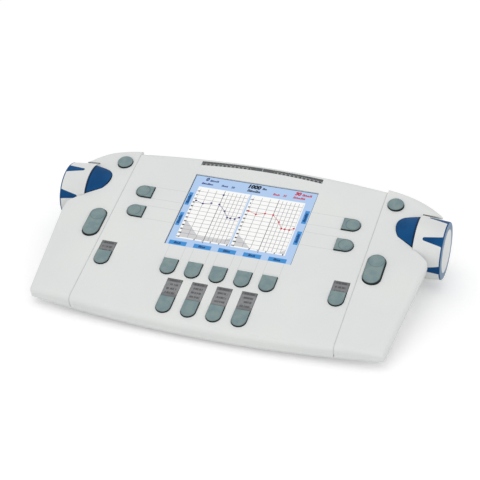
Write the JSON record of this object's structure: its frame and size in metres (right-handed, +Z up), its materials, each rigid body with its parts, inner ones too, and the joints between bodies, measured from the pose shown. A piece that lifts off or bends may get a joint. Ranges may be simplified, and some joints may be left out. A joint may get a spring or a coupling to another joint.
{
  "type": "audiometer",
  "caption": "Desk audiometer: sloping console with colour screen, shaped keys, rocker keys and a level dial with a stimulus key at each side.",
  "frame": {"origin": "centre of the footprint, on the table plane under the rubber feet", "axes": "+X to the operator's right, along the dials' axis; +Y to the rear, where the sockets are; +Z up; the operator sits at -Y"},
  "size_m": [0.3598, 0.1915, 0.0662],
  "materials": {
    "housing": "fine satin grain",
    "key_rubber": "matt silicone",
    "blue_rubber": "satin soft grip",
    "dial_plastic": "satin",
    "label_window": "satin film",
    "display_glass": "antiglare",
    "grille_plastic": "matt",
    "dark_plastic": "matt",
    "jack_plastic": "gloss",
    "circuit_board": "solder mask",
    "socket_plate": "powder coat",
    "plated_metal": "zinc plated",
    "foot_rubber": "matt"
  },
  "bodies": {
    "console": {"bottom_shell": "housing", "centre_cover": "housing", "left_wing_cover": "housing", "right_wing_cover": "housing", "lcd_panel": "display_glass", "lcd_backlight": "dark_plastic", "speaker_grille": "grille_plastic", "monitor_speaker": "dark_plastic", "left_mode_window": "label_window", "right_mode_window": "label_window", "select_window_1": "label_window", "select_window_2": "label_window", "select_window_3": "label_window", "select_window_4": "label_window", "key_board": "circuit_board", "key_switches": "dark_plastic", "main_board": "circuit_board", "connector_board": "circuit_board", "socket_panel": "socket_plate", "large_jacks": "jack_plastic", "small_jacks": "jack_plastic", "usb_socket": "plated_metal", "power_inlet": "dark_plastic", "power_switch_body": "dark_plastic", "left_dial_encoder": "plated_metal", "right_dial_encoder": "plated_metal", "rubber_feet": "foot_rubber", "case_screws": "plated_metal", "panel_screws": "plated_metal"},
    "soft_key_1": {"soft_key_1": "key_rubber"},
    "soft_key_2": {"soft_key_2": "key_rubber"},
    "soft_key_3": {"soft_key_3": "key_rubber"},
    "soft_key_4": {"soft_key_4": "key_rubber"},
    "soft_key_5": {"soft_key_5": "key_rubber"},
    "select_key_1": {"select_key_1": "key_rubber"},
    "select_key_2": {"select_key_2": "key_rubber"},
    "select_key_3": {"select_key_3": "key_rubber"},
    "select_key_4": {"select_key_4": "key_rubber"},
    "left_mode_key": {"left_mode_key": "key_rubber"},
    "left_side_key_1": {"left_side_key_1": "key_rubber"},
    "left_side_key_2": {"left_side_key_2": "key_rubber"},
    "left_round_key": {"left_round_key": "key_rubber"},
    "left_stimulus_key": {"left_stimulus_key": "blue_rubber"},
    "right_mode_key": {"right_mode_key": "key_rubber"},
    "right_side_key_1": {"right_side_key_1": "key_rubber"},
    "right_side_key_2": {"right_side_key_2": "key_rubber"},
    "right_round_key": {"right_round_key": "key_rubber"},
    "right_stimulus_key": {"right_stimulus_key": "blue_rubber"},
    "left_rocker_key": {"left_rocker_key": "key_rubber"},
    "right_rocker_key": {"right_rocker_key": "key_rubber"},
    "left_dial": {"left_dial_drum": "dial_plastic", "left_dial_grip": "blue_rubber", "left_dial_cap": "dial_plastic", "left_dial_shaft": "plated_metal"},
    "right_dial": {"right_dial_drum": "dial_plastic", "right_dial_grip": "blue_rubber", "right_dial_cap": "dial_plastic", "right_dial_shaft": "plated_metal"},
    "power_rocker": {"power_rocker": "dark_plastic"}
  },
  "joints": [
    {"name": "soft_key_1_press", "type": "slide", "parent": "console", "child": "soft_key_1", "axis": [0, 0.2588, -0.9659], "range_m": [0, 0.0012], "stiffness_N_per_m": 900},
    {"name": "soft_key_2_press", "type": "slide", "parent": "console", "child": "soft_key_2", "axis": [0, 0.2588, -0.9659], "range_m": [0, 0.0012], "stiffness_N_per_m": 900},
    {"name": "soft_key_3_press", "type": "slide", "parent": "console", "child": "soft_key_3", "axis": [0, 0.2588, -0.9659], "range_m": [0, 0.0012], "stiffness_N_per_m": 900},
    {"name": "soft_key_4_press", "type": "slide", "parent": "console", "child": "soft_key_4", "axis": [0, 0.2588, -0.9659], "range_m": [0, 0.0012], "stiffness_N_per_m": 900},
    {"name": "soft_key_5_press", "type": "slide", "parent": "console", "child": "soft_key_5", "axis": [0, 0.2588, -0.9659], "range_m": [0, 0.0012], "stiffness_N_per_m": 900},
    {"name": "select_key_1_press", "type": "slide", "parent": "console", "child": "select_key_1", "axis": [0, 0.2588, -0.9659], "range_m": [0, 0.0012], "stiffness_N_per_m": 900},
    {"name": "select_key_2_press", "type": "slide", "parent": "console", "child": "select_key_2", "axis": [0, 0.2588, -0.9659], "range_m": [0, 0.0012], "stiffness_N_per_m": 900},
    {"name": "select_key_3_press", "type": "slide", "parent": "console", "child": "select_key_3", "axis": [0, 0.2588, -0.9659], "range_m": [0, 0.0012], "stiffness_N_per_m": 900},
    {"name": "select_key_4_press", "type": "slide", "parent": "console", "child": "select_key_4", "axis": [0, 0.2588, -0.9659], "range_m": [0, 0.0012], "stiffness_N_per_m": 900},
    {"name": "left_mode_key_press", "type": "slide", "parent": "console", "child": "left_mode_key", "axis": [0, 0.2588, -0.9659], "range_m": [0, 0.0012], "stiffness_N_per_m": 900},
    {"name": "left_side_key_1_press", "type": "slide", "parent": "console", "child": "left_side_key_1", "axis": [0, 0.2588, -0.9659], "range_m": [0, 0.0012], "stiffness_N_per_m": 900},
    {"name": "left_side_key_2_press", "type": "slide", "parent": "console", "child": "left_side_key_2", "axis": [0, 0.2588, -0.9659], "range_m": [0, 0.0012], "stiffness_N_per_m": 900},
    {"name": "left_round_key_press", "type": "slide", "parent": "console", "child": "left_round_key", "axis": [0, 0.2588, -0.9659], "range_m": [0, 0.0012], "stiffness_N_per_m": 900},
    {"name": "left_stimulus_key_press", "type": "slide", "parent": "console", "child": "left_stimulus_key", "axis": [0, 0.2588, -0.9659], "range_m": [0, 0.0012], "stiffness_N_per_m": 900},
    {"name": "right_mode_key_press", "type": "slide", "parent": "console", "child": "right_mode_key", "axis": [0, 0.2588, -0.9659], "range_m": [0, 0.0012], "stiffness_N_per_m": 900},
    {"name": "right_side_key_1_press", "type": "slide", "parent": "console", "child": "right_side_key_1", "axis": [0, 0.2588, -0.9659], "range_m": [0, 0.0012], "stiffness_N_per_m": 900},
    {"name": "right_side_key_2_press", "type": "slide", "parent": "console", "child": "right_side_key_2", "axis": [0, 0.2588, -0.9659], "range_m": [0, 0.0012], "stiffness_N_per_m": 900},
    {"name": "right_round_key_press", "type": "slide", "parent": "console", "child": "right_round_key", "axis": [0, 0.2588, -0.9659], "range_m": [0, 0.0012], "stiffness_N_per_m": 900},
    {"name": "right_stimulus_key_press", "type": "slide", "parent": "console", "child": "right_stimulus_key", "axis": [0, 0.2588, -0.9659], "range_m": [0, 0.0012], "stiffness_N_per_m": 900},
    {"name": "left_rocker_key_tilt", "type": "hinge", "parent": "console", "child": "left_rocker_key", "pos_m": [-0.1292, -0.00322, 0.03633], "axis": [1, 0, 0], "range_deg": [-3.5, 3.5], "stiffness_Nm_per_rad": 0.26},
    {"name": "right_rocker_key_tilt", "type": "hinge", "parent": "console", "child": "right_rocker_key", "pos_m": [0.1292, -0.00322, 0.03633], "axis": [1, 0, 0], "range_deg": [-3.5, 3.5], "stiffness_Nm_per_rad": 0.26},
    {"name": "left_dial_turn", "type": "hinge", "parent": "console", "child": "left_dial", "pos_m": [0, 0.05314, 0.0331], "axis": [1, 0, 0], "continuous": true},
    {"name": "right_dial_turn", "type": "hinge", "parent": "console", "child": "right_dial", "pos_m": [0, 0.05314, 0.0331], "axis": [1, 0, 0], "continuous": true},
    {"name": "power_rocker_tip", "type": "hinge", "parent": "console", "child": "power_rocker", "pos_m": [0.108, 0.07485, 0.025], "axis": [1, 0, 0], "range_deg": [0, 16]}
  ]
}
